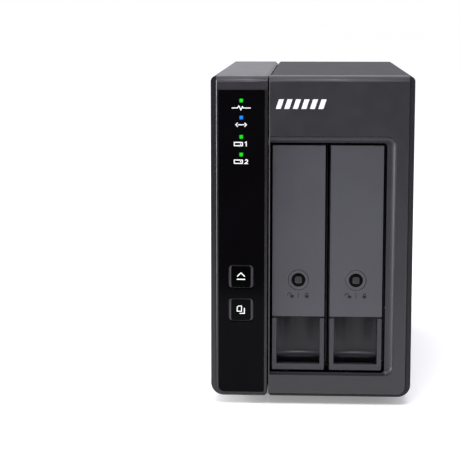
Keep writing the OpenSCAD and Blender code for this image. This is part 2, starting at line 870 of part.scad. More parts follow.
module tray_rails(n) {
    color("#45464b") at_bay(n) difference() {
        union() {
            block([rail_x0 + 1, tray_front_back_y, rail_z0], [13.2, frame_end_y, drive_z - 0.2]);
            block([rail_x0 + 1, tray_front_back_y, drive_z + drive_h + 0.2], [13.2, frame_end_y, rail_z1]);
        }
        // Pockets
        for (i = [0:4]) {
            translate([0, 0, rail_z0 - 1]) linear_extrude(case_h) rounded_at([0.4, -51 + i * 17], [20, 12], 2);
        }
        // Screw holes with room for the heads
        for (y = drive_hole_y) {
            rod_z(0.4, y, 1.9, rail_z0 - 1, rail_z1 + 1);
            rod_z(0.4, y, 3.6, rail_z0 - 1, rail_z0 + 3);
            rod_z(0.4, y, 3.6, rail_z1 - 3, rail_z1 + 1);
        }
    }
}

module drive_screws(n) {
    color("#b4b7bb") at_bay(n) for (y = drive_hole_y) {
        rod_z(0.4, y, 3.2, rail_z0 + 1.4, rail_z0 + 3);
        rod_z(0.4, y, 1.6, rail_z0 + 3, drive_z + 3);
        rod_z(0.4, y, 3.2, rail_z1 - 3, rail_z1 - 1.4);
        rod_z(0.4, y, 1.6, drive_z + drive_h - 3, rail_z1 - 3);
    }
}

// Hard drive
module hdd_body(n) {
    color("#8e9196") at_bay(n) difference() {
        block([drive_x, drive_y, drive_z], [drive_x + drive_t - 1.2, drive_end_y, drive_z + drive_h]);
        block([drive_x - 1, drive_end_y - 53, drive_z + 5], [drive_x + 1.8, drive_end_y - 3, drive_z + drive_h - 5]);
        block([drive_x - 1, drive_end_y - 8, plug_z0 - 4], [drive_x + 7.3, drive_end_y + 1, plug_z1 + 4]);
        for (y = drive_hole_y) rod_z(0.4, y, 1.65, drive_z - 1, drive_z + 4);
        for (y = drive_hole_y) rod_z(0.4, y, 1.65, drive_z + drive_h - 4, drive_z + drive_h + 1);
    }
}

module hdd_lid(n) {
    x1 = drive_x + drive_t;
    color("#c2c5c9") at_bay(n) side_plate(x1 - 1.2, x1) {
        rounded([drive_y + 1.5, drive_z + 1.5], [drive_end_y - 1.5, drive_z + drive_h - 1.5], 5);
    }
}

module hdd_board(n) {
    color("#1d4d34") at_bay(n) {
        block([drive_x + 0.3, drive_end_y - 52, drive_z + 6], [drive_x + 1.4, drive_end_y - 4, drive_z + drive_h - 6]);
        block([drive_x + 1, drive_end_y - 7.5, plug_z0 - 3], [drive_x + 6.3, drive_end_y - 5.5, plug_z1 + 3]);
        block([plug_x - 0.6, drive_end_y - 6, plug_z0], [plug_x + 0.6, drive_end_y - 0.5, plug_z1]);
    }
}

left_cover();
right_cover();
front_bezel();
led_panel();
front_window();
led_lenses();
led_board();
tact_switches();
rear_panel();
rubber_feet();
cage_base();
cage_top();
cage_left_wall();
cage_right_wall();
cage_divider();
main_board();
usb_c_port();
dc_jack();
dip_switch();
heatsink();
board_chips();
board_connectors();
backplane_board();
sata_sockets();
fan_frame();
fan_guard();
fan_screws();
panel_screws();
standoffs();
board_screws();
fan_cable();
cage_screws();
tray_front(1);  // tray_front_1
tray_front(2);  // tray_front_2
tray_plate(1);  // tray_plate_1
tray_plate(2);  // tray_plate_2
tray_rails(1);  // tray_rails_1
tray_rails(2);  // tray_rails_2
hdd_body(1);  // hdd_body_1
hdd_body(2);  // hdd_body_2
hdd_lid(1);  // hdd_lid_1
hdd_lid(2);  // hdd_lid_2
hdd_board(1);  // hdd_board_1
hdd_board(2);  // hdd_board_2
drive_screws(1);  // drive_screws_1
drive_screws(2);  // drive_screws_2
lever_pin(1);  // lever_pin_1
lever_pin(2);  // lever_pin_2
lever(1);  // lever_1
lever(2);  // lever_2
lock_ring(1);  // lock_ring_1
lock_ring(2);  // lock_ring_2
lock(1);  // lock_1
lock(2);  // lock_2
eject_button();
copy_button();
set_button();
dip_slider(-1);  // dip_slider_1
dip_slider(1);  // dip_slider_2
fan_rotor();
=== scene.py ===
"""A two-bay network attached storage: finishes, marks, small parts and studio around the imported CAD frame."""

import math

import bmesh
import bpy
from mathutils import Matrix, Vector


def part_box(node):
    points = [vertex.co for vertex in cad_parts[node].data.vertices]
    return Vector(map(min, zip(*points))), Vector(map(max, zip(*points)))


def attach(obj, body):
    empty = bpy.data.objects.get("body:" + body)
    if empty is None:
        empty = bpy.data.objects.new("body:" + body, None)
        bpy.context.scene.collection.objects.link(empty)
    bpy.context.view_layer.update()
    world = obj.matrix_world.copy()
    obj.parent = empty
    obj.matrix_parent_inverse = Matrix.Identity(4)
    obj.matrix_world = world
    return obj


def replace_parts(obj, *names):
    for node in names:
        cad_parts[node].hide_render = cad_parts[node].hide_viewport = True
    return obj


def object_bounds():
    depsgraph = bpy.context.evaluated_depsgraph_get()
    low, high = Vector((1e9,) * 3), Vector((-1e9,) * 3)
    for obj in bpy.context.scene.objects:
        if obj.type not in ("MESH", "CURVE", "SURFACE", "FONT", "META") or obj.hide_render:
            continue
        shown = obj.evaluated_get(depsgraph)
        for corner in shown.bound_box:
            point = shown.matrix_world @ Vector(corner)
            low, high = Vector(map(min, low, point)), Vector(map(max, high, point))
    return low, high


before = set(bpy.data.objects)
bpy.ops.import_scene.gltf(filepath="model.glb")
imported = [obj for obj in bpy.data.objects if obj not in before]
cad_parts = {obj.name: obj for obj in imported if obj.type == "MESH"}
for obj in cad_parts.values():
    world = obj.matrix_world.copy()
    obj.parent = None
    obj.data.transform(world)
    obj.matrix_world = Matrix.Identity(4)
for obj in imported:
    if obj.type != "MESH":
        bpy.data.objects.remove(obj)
CAD_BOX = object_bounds()
MM = 0.001


# ---------------------------------------------------------------- finishes
def linear(code):
    """A hex colour as linear red, green, blue and alpha."""
    parts = [int(code[i : i + 2], 16) / 255 for i in (1, 3, 5)]
    return tuple(c / 12.92 if c <= 0.04045 else ((c + 0.055) / 1.055) ** 2.4 for c in parts) + (1.0,)


def scaled(colour, factor):
    """colour made lighter or darker."""
    return tuple(min(1.0, c * factor) for c in colour[:3]) + (1.0,)


class Finish:
    """A node material on object coordinates, with helpers for its colour, roughness and relief."""

    def __init__(self, name, **settings):
        self.material = bpy.data.materials.new(name)
        self.material.use_nodes = True
        self.tree = self.material.node_tree
        self.shader = self.tree.nodes["Principled BSDF"]
        self.where = self.node("ShaderNodeTexCoord").outputs["Object"]
        self.normal = None
        for socket, value in settings.items():
            self.shader.inputs[socket.replace("_", " ")].default_value = value

    def node(self, kind, **settings):
        made = self.tree.nodes.new(kind)
        for name, value in settings.items():
            setattr(made, name, value)
        return made

    def link(self, source, target):
        self.tree.links.new(source, target)
        return target

    def stretched(self, scale):
        mapping = self.node("ShaderNodeMapping")
        mapping.inputs["Scale"].default_value = scale
        self.link(self.where, mapping.inputs["Vector"])
        return mapping.outputs["Vector"]

    def noise(self, size, detail=2.0, stretch=(1, 1, 1)):
        """Noise whose features are about size metres wide."""
        made = self.node("ShaderNodeTexNoise")
        made.inputs["Scale"].default_value = 1 / size
        made.inputs["Detail"].default_value = detail
        self.link(self.stretched(stretch), made.inputs["Vector"])
        return made.outputs["Fac"]

    def cells(self, size, feature="F1", metric="EUCLIDEAN"):
        """Distance to the points or edges of cells about size metres wide."""
        made = self.node("ShaderNodeTexVoronoi", feature=feature, distance=metric)
        made.inputs["Scale"].default_value = 1 / size
        self.link(self.stretched((1, 1, 1)), made.inputs["Vector"])
        return made.outputs["Distance"]

    def ranged(self, value, low, high, start=0.3, stop=0.7):
        """value from start to stop, moved to the range from low to high."""
        made = self.node("ShaderNodeMapRange")
        for name, number in (("From Min", start), ("From Max", stop), ("To Min", low), ("To Max", high)):
            made.inputs[name].default_value = number
        self.link(value, made.inputs["Value"])
        return made.outputs["Result"]

    def mixed(self, factor, first, second):
        made = self.node("ShaderNodeMix", data_type="RGBA")
        self.link(factor, made.inputs["Factor"])
        for socket, colour in ((made.inputs[6], first), (made.inputs[7], second)):
            if isinstance(colour, tuple):
                socket.default_value = colour
            else:
                self.link(colour, socket)
        return made.outputs[2]

    def colour(self, source):
        self.link(source, self.shader.inputs["Base Color"])

    def roughness(self, source):
        self.link(source, self.shader.inputs["Roughness"])

    def relief(self, height, depth):
        """Adds a bump whose full height is depth metres."""
        made = self.node("ShaderNodeBump")
        made.inputs["Strength"].default_value = 1.0
        made.inputs["Distance"].default_value = depth
        self.link(height, made.inputs["Height"])
        if self.normal is not None:
            self.link(self.normal, made.inputs["Normal"])
        self.normal = made.outputs["Normal"]
        self.link(self.normal, self.shader.inputs["Normal"])


def moulded(
    name, code, rough, grain=0.35 * MM, depth=0.012 * MM, mottle=0.05, wave=0.01 * MM, haze=0.055, **settings
):
    """Moulded plastic: fine spark-eroded grain, faint flow mottling and handling haze."""
    made = Finish(name, **settings)
    base = linear(code)
    cloud = made.noise(24 * MM, 3)
    fleck = made.noise(grain * 1.6, 2)
    tone = made.mixed(made.ranged(cloud, 0, 1), scaled(base, 1 - mottle), scaled(base, 1 + mottle))
    made.colour(made.mixed(made.ranged(fleck, 0, 0.22), tone, scaled(base, 1.5)))
    made.roughness(made.ranged(made.noise(9 * MM, 4), rough - haze, rough + haze))
    made.relief(made.noise(grain, 3), depth)
    made.relief(made.noise(38 * MM, 1), wave)
    return made.material


def painted_highlight_band(name, low_code, high_code, rough, height, **settings):
    """Polished plastic painted lighter above a height on the case: the lighter upper band is a painted
    highlight.
    """
    made = Finish(name, **settings)
    split = made.node("ShaderNodeSeparateXYZ")
    made.link(made.where, split.inputs[0])
    # Mask of the painted highlight: 1 above the height, 0 below.
    above = made.ranged(split.outputs["Z"], 0, 1, height - 0.4 * MM, height + 0.4 * MM)
    cloud = made.ranged(made.noise(24 * MM, 3), 0, 1)
    low, high = linear(low_code), linear(high_code)
    darker = made.mixed(cloud, scaled(low, 0.93), scaled(low, 1.07))
    lighter = made.mixed(cloud, scaled(high, 0.95), scaled(high, 1.05))
    made.colour(made.mixed(above, darker, lighter))
    made.roughness(made.ranged(made.noise(9 * MM, 4), rough - 0.05, rough + 0.06))
    made.relief(made.noise(0.25 * MM, 3), 0.004 * MM)
    return made.material


def glossy(name, code, rough, **settings):
    """Polished plastic: barely wavy, with fine dust and hairlines in its gloss."""
    made = Finish(name, **settings)
    base = linear(code)
    made.colour(made.mixed(made.ranged(made.noise(30 * MM, 2), 0, 1), scaled(base, 0.9), scaled(base, 1.1)))
    haze = made.noise(14 * MM, 4)
    made.roughness(made.ranged(haze, rough, rough + 0.06, 0.4, 0.75))
    made.relief(made.noise(45 * MM, 1), 0.03 * MM)
    return made.material


def metal(name, code, rough, stretch=(1, 1, 1), grain=0.6 * MM, depth=0.004 * MM, patch=0.12, **settings):
    """Bare or plated metal, with its rolling or machining grain along one axis."""
    made = Finish(name, Metallic=1.0, **settings)
    base = linear(code)
    lines = made.noise(grain, 3, stretch)
    stain = made.noise(11 * MM, 4)
    tone = made.mixed(made.ranged(stain, 0, 1), scaled(base, 1 - patch), scaled(base, 1 + patch / 2))
    made.colour(made.mixed(made.ranged(lines, 0, 0.15), tone, scaled(base, 0.8)))
    made.roughness(made.ranged(lines, rough - 0.06, rough + 0.1))
    made.relief(lines, depth)
    return made.material


def laminate(name, code, copper):
    """Circuit board: solder mask over copper areas, with rows of tracks and plated holes."""
    made = Finish(name, Specular_IOR_Level=0.5)
    base = linear(code)
    tracks = made.cells(3.2 * MM, "DISTANCE_TO_EDGE", metric="MANHATTAN")
    line = made.ranged(tracks, 1, 0, 0.02, 0.06)
    pads = made.ranged(made.cells(2.1 * MM), 1, 0, 0.10, 0.13)
    area = made.ranged(made.noise(13 * MM, 1), 0, 1, 0.48, 0.52)
    mask = made.mixed(area, scaled(base, 0.8), scaled(base, 1.3))
    mask = made.mixed(line, mask, scaled(base, 1.9))
    made.colour(made.mixed(pads, mask, linear(copper)))
    made.roughness(made.ranged(made.noise(6 * MM, 3), 0.28, 0.4))
    made.relief(line, 0.03 * MM)
    return made.material


def rubbery(name, code, rough=0.75):
    made = Finish(name, Specular_IOR_Level=0.35)
    base = linear(code)
    dust = made.noise(3 * MM, 4)
    made.colour(made.mixed(made.ranged(dust, 0, 1, 0.45, 0.8), base, scaled(base, 1.9)))
    made.roughness(made.ranged(dust, rough, rough + 0.15))
    made.relief(made.noise(0.5 * MM, 3), 0.03 * MM)
    return made.material


def lamp(name, code, glow):
    """A lit diffusing lens of a saturated colour."""
    made = Finish(name, Specular_IOR_Level=0.2, Emission_Strength=glow)
    base = linear(code)
    grain = made.noise(0.5 * MM, 2)
    shade = made.mixed(made.ranged(grain, 0, 1), scaled(base, 0.8), base)
    made.colour(made.mixed(made.ranged(grain, 0, 1), scaled(base, 0.1), scaled(base, 0.15)))
    made.link(shade, made.shader.inputs["Emission Color"])
    made.roughness(made.ranged(grain, 0.3, 0.4))
    made.relief(grain, 0.01 * MM)
    return made.material


def printed(name, code, rough=0.5):
    """Screen-printed ink, slightly uneven."""
    made = Finish(name, Specular_IOR_Level=0.3)
    base = linear(code)
    made.colour(made.mixed(made.ranged(made.noise(0.35 * MM, 2), 0, 1, 0.35, 0.7), base, scaled(base, 0.86)))
    made.roughness(made.ranged(made.noise(1 * MM, 2), rough - 0.08, rough + 0.08))
    made.relief(made.noise(0.2 * MM, 2), 0.006 * MM)
    return made.material


WINDOW_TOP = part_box("front_window")[1].z + 0.4 * MM
FINISHES = {
    "cover_left": moulded(
        "SatinCoverLeft", "#19181c", 0.36, 0.3 * MM, 0.004 * MM,
        mottle=0.03, wave=0.001 * MM, haze=0.015, Specular_IOR_Level=0.45
    ),
    "cover_right": moulded(
        "SatinCoverRight", "#222124", 0.58, 0.3 * MM, 0.008 * MM,
        mottle=0.03, wave=0.001 * MM, haze=0.02, Specular_IOR_Level=0.2
    ),
    "bezel_plastic": moulded(
        "BezelPlastic", "#2a292c", 0.42, 0.3 * MM, 0.01 * MM, wave=0.004 * MM, Specular_IOR_Level=0.42
    ),
    # The strip is painted lighter above the window's top: a painted highlight for the light that band catches.
    "strip_plastic": painted_highlight_band("StripPlastic", "#121114", "#2d2a30", 0.38, WINDOW_TOP, Specular_IOR_Level=0.45),
    "window_gloss": glossy("WindowGloss", "#070608", 0.1, Specular_IOR_Level=0.03),
    "light_lens": lamp("LensGreen", "#14e414", 1.0),
    "button_gloss": moulded("ButtonSatin", "#2c2930", 0.34, 0.2 * MM, 0.003 * MM, Specular_IOR_Level=0.5),
    "tray_plastic": moulded("TrayPlastic", "#2d2d32", 0.4, 0.3 * MM, 0.008 * MM, Specular_IOR_Level=0.45),
    "lever_plastic": moulded(
        "LeverPlastic", "#434348", 0.46, 0.35 * MM, 0.014 * MM, wave=0.004 * MM, Specular_IOR_Level=0.35
    ),
    "frame_plastic": moulded("FramePlastic", "#3a3b40", 0.5, 0.4 * MM, 0.014 * MM),
    "lock_plastic": glossy("LockGloss", "#050506", 0.2, Specular_IOR_Level=0.1),
    "rubber": rubbery("Rubber", "#17171a"),
    "rear_steel": moulded("PowderCoat", "#222226", 0.5, 0.6 * MM, 0.03 * MM),
    "cage_steel": moulded("CageSteel", "#1d1d20", 0.42, 0.6 * MM, 0.01 * MM),
    "guard_steel": metal("GuardSteel", "#a7abb1", 0.24, (1, 1, 1), 0.5 * MM, 0.001 * MM, 0.06),
    "screw_steel": metal("ScrewSteel", "#b4b7bc", 0.28, (1, 1, 1), 0.4 * MM, 0.001 * MM, 0.06),
    "screw_black": metal("ScrewBlack", "#26262a", 0.36, (1, 1, 1), 0.5 * MM),
    "brass": metal("Brass", "#c9a35a", 0.28, (1, 1, 1), 0.5 * MM),
    "circuit_board": laminate("CircuitBoard", "#123a26", "#c8a661"),
    "chip": moulded("ChipResin", "#141416", 0.52, 0.25 * MM, 0.008 * MM),
    "socket_ivory": moulded("SocketIvory", "#dad5c3", 0.42, 0.4 * MM, 0.006 * MM),
    "socket_black": moulded("SocketBlack", "#161618", 0.42, 0.3 * MM, 0.008 * MM),
    "connector_steel": metal("ConnectorSteel", "#c3c6ca", 0.25, (1, 0.1, 1), 0.5 * MM),
    "heatsink": metal("Heatsink", "#9fa3a8", 0.42, (1, 0.15, 1), 0.5 * MM),
    "switch_metal": metal("SwitchMetal", "#9b9da1", 0.35, (1, 1, 1), 0.6 * MM),
    "dip_red": moulded("DipRed", "#8f1f27", 0.4, 0.3 * MM, 0.006 * MM),
    "white_plastic": moulded("WhitePlastic", "#dededb", 0.42, 0.3 * MM, 0.006 * MM),
    "fan_plastic": moulded("FanPlastic", "#1b1b1e", 0.4, 0.35 * MM, 0.008 * MM),
    "drive_cast": metal("DriveCasting", "#8b8e93", 0.5, (1, 1, 1), 1.6 * MM, 0.03 * MM),
    "drive_lid": metal("DriveLid", "#bcc0c5", 0.34, (1, 0.06, 1), 0.5 * MM, 0.002 * MM, 0.04),
    "cable_jacket": rubbery("CableJacket", "#1a1a1c", 0.5),
}
INK = printed("InkWhite", "#f4f4f5")
INK_DARK = printed("InkDark", "#101014")
LAMP_BLUE = lamp("LensBlue", "#1486ff", 1.0)


# ---------------------------------------------------------------- pieces
def dressed(obj, material, edge):
    """Gives obj its finish, joins its split faces and rounds its sharp edges."""
    obj.data.materials.clear()
    obj.data.materials.append(material)
    weld = obj.modifiers.new("Weld", "WELD")
    weld.merge_threshold = 1e-6
    if edge:
        bevel = obj.modifiers.new("Edges", "BEVEL")
        bevel.width = edge
        bevel.segments = 2
        bevel.limit_method = "ANGLE"
        bevel.angle_limit = math.radians(38)
        bevel.harden_normals = True
    return obj


def added(name, mesh, body, material):
    """A new piece from a mesh in the row frame."""
    obj = bpy.data.objects.new(name, mesh)
    bpy.context.scene.collection.objects.link(obj)
    mesh.materials.append(material)
    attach(obj, body)
    return obj


def arc(centre, radius, start, stop, steps=12):
    """Points on an arc, with its angles in degrees."""
    angles = [math.radians(start + (stop - start) * i / steps) for i in range(steps + 1)]
    return [(centre[0] + radius * math.cos(a), centre[1] + radius * math.sin(a)) for a in angles]


def box_loop(x0, z0, x1, z1, radius=0.0):
    """A rectangle's outline with round corners."""
    if radius <= 0:
        return [(x0, z0), (x1, z0), (x1, z1), (x0, z1)]
    left, low, right, high = x0 + radius, z0 + radius, x1 - radius, z1 - radius
    corners = [(left, low, 180), (right, low, 270), (right, high, 0), (left, high, 90)]
    return [p for x, z, a in corners for p in arc((x, z), radius, a, a + 90, 5)]


def stroke(points, width, closed=False):
    """The outline of a line of that width: one loop, or an outer and an inner one where it closes."""
    line = [Vector(p) for p in points]
    left, right = [], []
    for i, p in enumerate(line):
        ahead = line[(i + 1) % len(line)] - p if closed or i < len(line) - 1 else None
        behind = p - line[i - 1] if closed or i > 0 else None
        first = (behind or ahead).normalized()
        second = (ahead or behind).normalized()
        along = (first + second).normalized()
        side = Vector((-along.y, along.x))
        reach = width / 2 / max(0.35, side.dot(Vector((-first.y, first.x))))
        left.append(tuple(p + side * reach))
        right.append(tuple(p - side * reach))
    return [left, right] if closed else [left + right[::-1]]


def skinned(name, rings):
    """A closed mesh through rings of points in mm, all with as many points, capped at both ends."""
    made = bmesh.new()
    loops = [[made.verts.new(Vector(point) * MM) for point in ring] for ring in rings]
    for near, far in zip(loops, loops[1:]):
        for i in range(len(near)):
            j = (i + 1) % len(near)
            made.faces.new((near[i], near[j], far[j], far[i]))
    made.faces.new(loops[0][::-1])
    made.faces.new(loops[-1])
    bmesh.ops.recalc_face_normals(made, faces=made.faces)
    mesh = bpy.data.meshes.new(name)
    made.to_mesh(mesh)
    made.free()
    return mesh


def lofted(name, rings, centre, body, material):
    """A cap from rounded outlines around centre: half width, half height, corner radius and y of each."""
    outlines = [(box_loop(-half_x, -half_z, half_x, half_z, radius), y) for half_x, half_z, radius, y in rings]
    points = [[(centre.x + x, y, centre.z + z) for x, z in outline] for outline, y in outlines]
    return added(name, skinned(name, points), body, material)


def turned(name, profile, start, axis, body, material, steps=24):
    """A round piece from (radius, distance) pairs in mm along an axis from start."""
    turn = Vector(axis).to_track_quat("Z", "Y").to_matrix()
    angles = [2 * math.pi * i / steps for i in range(steps)]
    rings = []
    for reach, far in profile:
        circle = [Vector((reach * math.cos(a), reach * math.sin(a), far)) for a in angles]
        rings.append([Vector(start) + turn @ point for point in circle])
    return added(name, skinned(name, rings), body, material)


def plate(name, loops, at, front, thick, body, material, facing="-Y"):
    """A flat piece from loops in mm around at, its outer face at front along the axis it faces."""
    curve = bpy.data.curves.new(name, "CURVE")
    curve.dimensions = "2D"
    curve.fill_mode = "BOTH"
    curve.extrude = thick / 2 * MM
    for loop in loops:
        spline = curve.splines.new("POLY")
        spline.points.add(len(loop) - 1)
        for point, (across, up) in zip(spline.points, loop):
            point.co = (across * MM, up * MM, 0, 1)
        spline.use_cyclic_u = True
    drawn = bpy.data.objects.new(name, curve)
    mesh = bpy.data.meshes.new_from_object(drawn)
    bpy.data.objects.remove(drawn)
    bpy.data.curves.remove(curve)
    right, place = {
        "-Y": (Vector((1, 0, 0)), Vector((at[0], front + thick / 2, at[1]))),
        "+Y": (Vector((-1, 0, 0)), Vector((at[0], front - thick / 2, at[1]))),
        "+X": (Vector((0, 1, 0)), Vector((front - thick / 2, at[0], at[1]))),
    }[facing]
    up = Vector((0, 0, 1))
    turn = Matrix((right, up, right.cross(up))).transposed().to_4x4()
    mesh.transform(Matrix.Translation(place * MM) @ turn)
    return added(name, mesh, body, material)


INK_THICK = 0.05
INK_PROUD = 0.02


def sign(name, loops, at, front, body, material=INK, facing="-Y"):
    """Ink that stands a little off a face: loops in mm around at, with that face's place on its axis."""
    surface = front - INK_PROUD if facing == "-Y" else front + INK_PROUD
    return plate(name, loops, at, surface, INK_THICK, body, material, facing)


def middle(node):
    """The centre of a node's box in mm."""
    low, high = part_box(node)
    return (low + high) / 2 / MM


# ---------------------------------------------------------------- carried-over CAD nodes
EDGE = {
    "lever_plastic": 0.3,
    "tray_plastic": 0.5,
    "bezel_plastic": 0.35,
    "cover_left": 0.3,
    "cover_right": 0.3,
    "strip_plastic": 0.2,
    "window_gloss": 0.12,
    "lock_plastic": 0.15,
    "rubber": 0.4,
    "cable_jacket": 0.0,
    "circuit_board": 0.06,
    "light_lens": 0.15,
    "chip": 0.12,
    "dip_red": 0.12,
    "white_plastic": 0.12,
    "socket_ivory": 0.15,
    "socket_black": 0.15,
    "connector_steel": 0.08,
}
for node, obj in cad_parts.items():
    slot_name = obj.data.materials[0].name
    dressed(obj, FINISHES[slot_name], EDGE.get(slot_name, 0.2) * MM)


# ---------------------------------------------------------------- status lights
lens_low, lens_high = (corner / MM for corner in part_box("led_lenses"))
LIGHT_X = (lens_low.x + lens_high.x) / 2
TOP_LIGHT = lens_high.z - 0.9
LIGHT_Z = [TOP_LIGHT - drop for drop in (0, 8.5, 18.2, 27.1)]
# Half side of a square post with a slightly domed face, and the distance behind that face
LENS_STEPS = ((0.8, lens_high.y - lens_low.y), (0.8, 0.25), (0.72, 0.1), (0.5, 0.02), (0.2, 0.0))
for number, z in enumerate(LIGHT_Z, 1):
    tone = LAMP_BLUE if number == 2 else FINISHES["light_lens"]
    post = [(half, half, 0.15, lens_low.y + inset) for half, inset in LENS_STEPS]
    lens = lofted(f"status_lens_{number}", post, Vector((LIGHT_X, 0, z)), "chassis", tone)
    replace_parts(lens, "led_lenses")


# ---------------------------------------------------------------- printed marks
def digit_two(x):
    """The line of a digit 2 around x."""
    return arc((x, 0.42), 0.62, 165, -35, 8) + [(x - 0.7, -0.9), (x + 0.8, -0.9)]


GLASS_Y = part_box("front_window")[0].y / MM
BEAT = [(-4.8, -0.1), (-1.9, -0.1), (-1.2, 0.9), (-0.1, -1.0), (0.7, 0.5), (1.1, -0.1), (4.8, -0.1)]
PULSE = stroke(BEAT, 0.5)
ARROWS = (
    stroke([(-1.7, 0), (1.7, 0)], 0.5)
    + stroke([(-1.7, 1.0), (-2.7, 0), (-1.7, -1.0)], 0.5)
    + stroke([(1.7, 1.0), (2.7, 0), (1.7, -1.0)], 0.5)
)
DRIVE = [
    box_loop(-3.7, -1.1, 0.95, 1.1, 0.35),
    box_loop(-3.2, -0.6, 0.45, 0.6, 0.12),
    box_loop(-0.5, -0.3, 0.1, 0.3, 0.1),
]
ONE = stroke([(1.9, 0.6), (2.6, 1.05), (2.6, -1.1)], 0.5)
TWO = stroke(digit_two(2.7), 0.5)
LABELS = [PULSE, ARROWS, DRIVE + ONE, DRIVE + TWO]
LABEL_DROP = 3.55
for number, (z, loops) in enumerate(zip(LIGHT_Z, LABELS), 1):
    sign(f"status_mark_{number}", loops, (LIGHT_X, z - LABEL_DROP), GLASS_Y, "chassis")

bezel_low, bezel_high = (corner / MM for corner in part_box("front_bezel"))
FRONT_PLATE = 3.5
PLATE_BACK = bezel_low.y + FRONT_PLATE
BAR_COUNT, BAR_PITCH, BAR_WIDTH, BAR_LEAN, BAR_RISE = 6, 4.25, 2.5, 1.6, 2.4
SLANT = [(0, -BAR_RISE), (BAR_WIDTH, -BAR_RISE), (BAR_WIDTH + BAR_LEAN, BAR_RISE), (BAR_LEAN, BAR_RISE)]
BARS = [[(i * BAR_PITCH + x, z) for x, z in SLANT] for i in range(BAR_COUNT)]
sign("bezel_mark", BARS, (bezel_low.x + 3.4, bezel_high.z - 13.8), bezel_low.y, "chassis")


# ---------------------------------------------------------------- front buttons
BUTTON_FACE = glossy("ButtonFace", "#030303", 0.12, Specular_IOR_Level=0.04)
EJECT = stroke([(-1.9, 0.1), (0, 1.95), (1.9, 0.1)], 0.5) + [box_loop(-2.15, -1.65, 2.15, -1.1, 0.1)]
SHEETS = (
    stroke([(-1.9, -0.8), (0.3, -0.8), (0.3, 1.9), (-1.3, 1.9), (-1.9, 1.3)], 0.45, True)
    + stroke([(-0.7, -1.9), (1.75, -1.9), (1.75, 0.9)], 0.5)
)
for body, loops in (("eject_button", EJECT), ("copy_button", SHEETS)):
    low, high = (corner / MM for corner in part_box(body))
    centre = (low + high) / 2
    flange = (high.x - low.x) / 2
    half = (flange - 0.9, (high.z - low.z) / 2 - 0.9)
    front = low.y
    skirt = [
        (half[0], half[1], 1.8, high.y),
        (half[0], half[1], 1.8, PLATE_BACK + 1.5),
        (flange, half[1] + 0.9, 2.7, PLATE_BACK + 1.5),
        (flange, half[1] + 0.9, 2.7, PLATE_BACK + 0.3),
        (half[0], half[1], 1.8, PLATE_BACK + 0.3),
    ]
    rim = [(half[0], half[1], 1.8, front + 0.75), (half[0] - 0.12, half[1] - 0.1, 1.7, front + 0.6)]
    face = [(half[0] - 1.35, half[1] - 0.5, 1.2, front + 0.12)]
    cap = lofted(body + "_cap", skirt + rim + face, centre, body, FINISHES["button_gloss"])
    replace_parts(cap, body)
    inlay = [(half[0] - 1.43, half[1] - 0.58, 1.1, front + y) for y in (0.2, 0.04)]
    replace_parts(lofted(body + "_face", inlay, centre, body, BUTTON_FACE), body)
    sign(body + "_mark", loops, (centre.x, centre.z), front + 0.04, body)


# ---------------------------------------------------------------- lever marks and tray catches
OPEN_SHACKLE = [(-2.25, 0.0)] + arc((-1.4, 0.4), 0.85, 180, 0, 10) + [(-0.55, 0.18)]
SHUT_SHACKLE = [(-0.6, 0.18)] + arc((0, 0.6), 0.6, 180, 0, 8) + [(0.6, 0.18)]
OPEN_LOCK = [box_loop(-0.9, -1.2, 0.9, 0.15, 0.2)] + stroke(OPEN_SHACKLE, 0.4)
SHUT_LOCK = [box_loop(-0.95, -1.2, 0.95, 0.15, 0.2)] + stroke(SHUT_SHACKLE, 0.4)
DIVIDER = [box_loop(-0.15, -1.3, 0.15, 1.4)]
LEVER_MARK_DROP = 8
LEVER_MARKS = (("open", OPEN_LOCK, -3.2), ("line", DIVIDER, 0), ("shut", SHUT_LOCK, 4.35))
for n in (1, 2):
    lever_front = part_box(f"lever_{n}")[0].y / MM
    ring = middle(f"lock_ring_{n}")
    for name, loops, shift in LEVER_MARKS:
        spot = (ring.x + shift, ring.z - LEVER_MARK_DROP)
        sign(f"lever_mark_{name}_{n}", loops, spot, lever_front, f"lever_arm_{n}", INK_DARK)

# Sloped square boss in the middle of each lock: half side, corner radius, distance behind the tray's face
BOSS_STEPS = ((2.25, 1.2, 0.9), (2.25, 1.2, 0.55), (2.0, 1.0, 0.3), (1.3, 0.5, 0.05))
# The boss is painted lighter than the near-black plug it rides on: a painted highlight for the light it catches
# in the lock's dark recess.
PAINTED_LIT_BOSS = moulded("LockBoss", "#222226", 0.3, 0.2 * MM, 0.003 * MM, Specular_IOR_Level=0.5)
for n in (1, 2):
    tray_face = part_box(f"tray_front_{n}")[0].y / MM
    boss = [(half, half, radius, tray_face + inset) for half, radius, inset in BOSS_STEPS]
    lofted(f"lock_boss_{n}", boss, middle(f"lock_ring_{n}"), f"lock_plug_{n}", PAINTED_LIT_BOSS)


for n in (1, 2):
    front_low, front_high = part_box(f"tray_front_{n}")
    spot = (front_high.x / MM - 0.3, front_low.y / MM + 2.2, front_low.z / MM + 4.6)
    pip = [(0.55, 0), (0.55, 1.0), (0.47, 1.2), (0.28, 1.3)]
    turned(f"catch_pip_{n}", pip, spot, (1, 0, 0), f"tray_{n}", FINISHES["screw_black"])


# ---------------------------------------------------------------- rear screws, marks and label
REAR_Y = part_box("rear_panel")[1].y / MM


def cross(reach, arm):
    """The outline of a cross recess."""
    quarter = [(reach, -arm), (reach, arm), (arm, arm)]
    loop = []
    for turns in range(4):
        for x, z in quarter:
            for _ in range(turns):
                x, z = -z, x
            loop.append((x, z))
    return loop


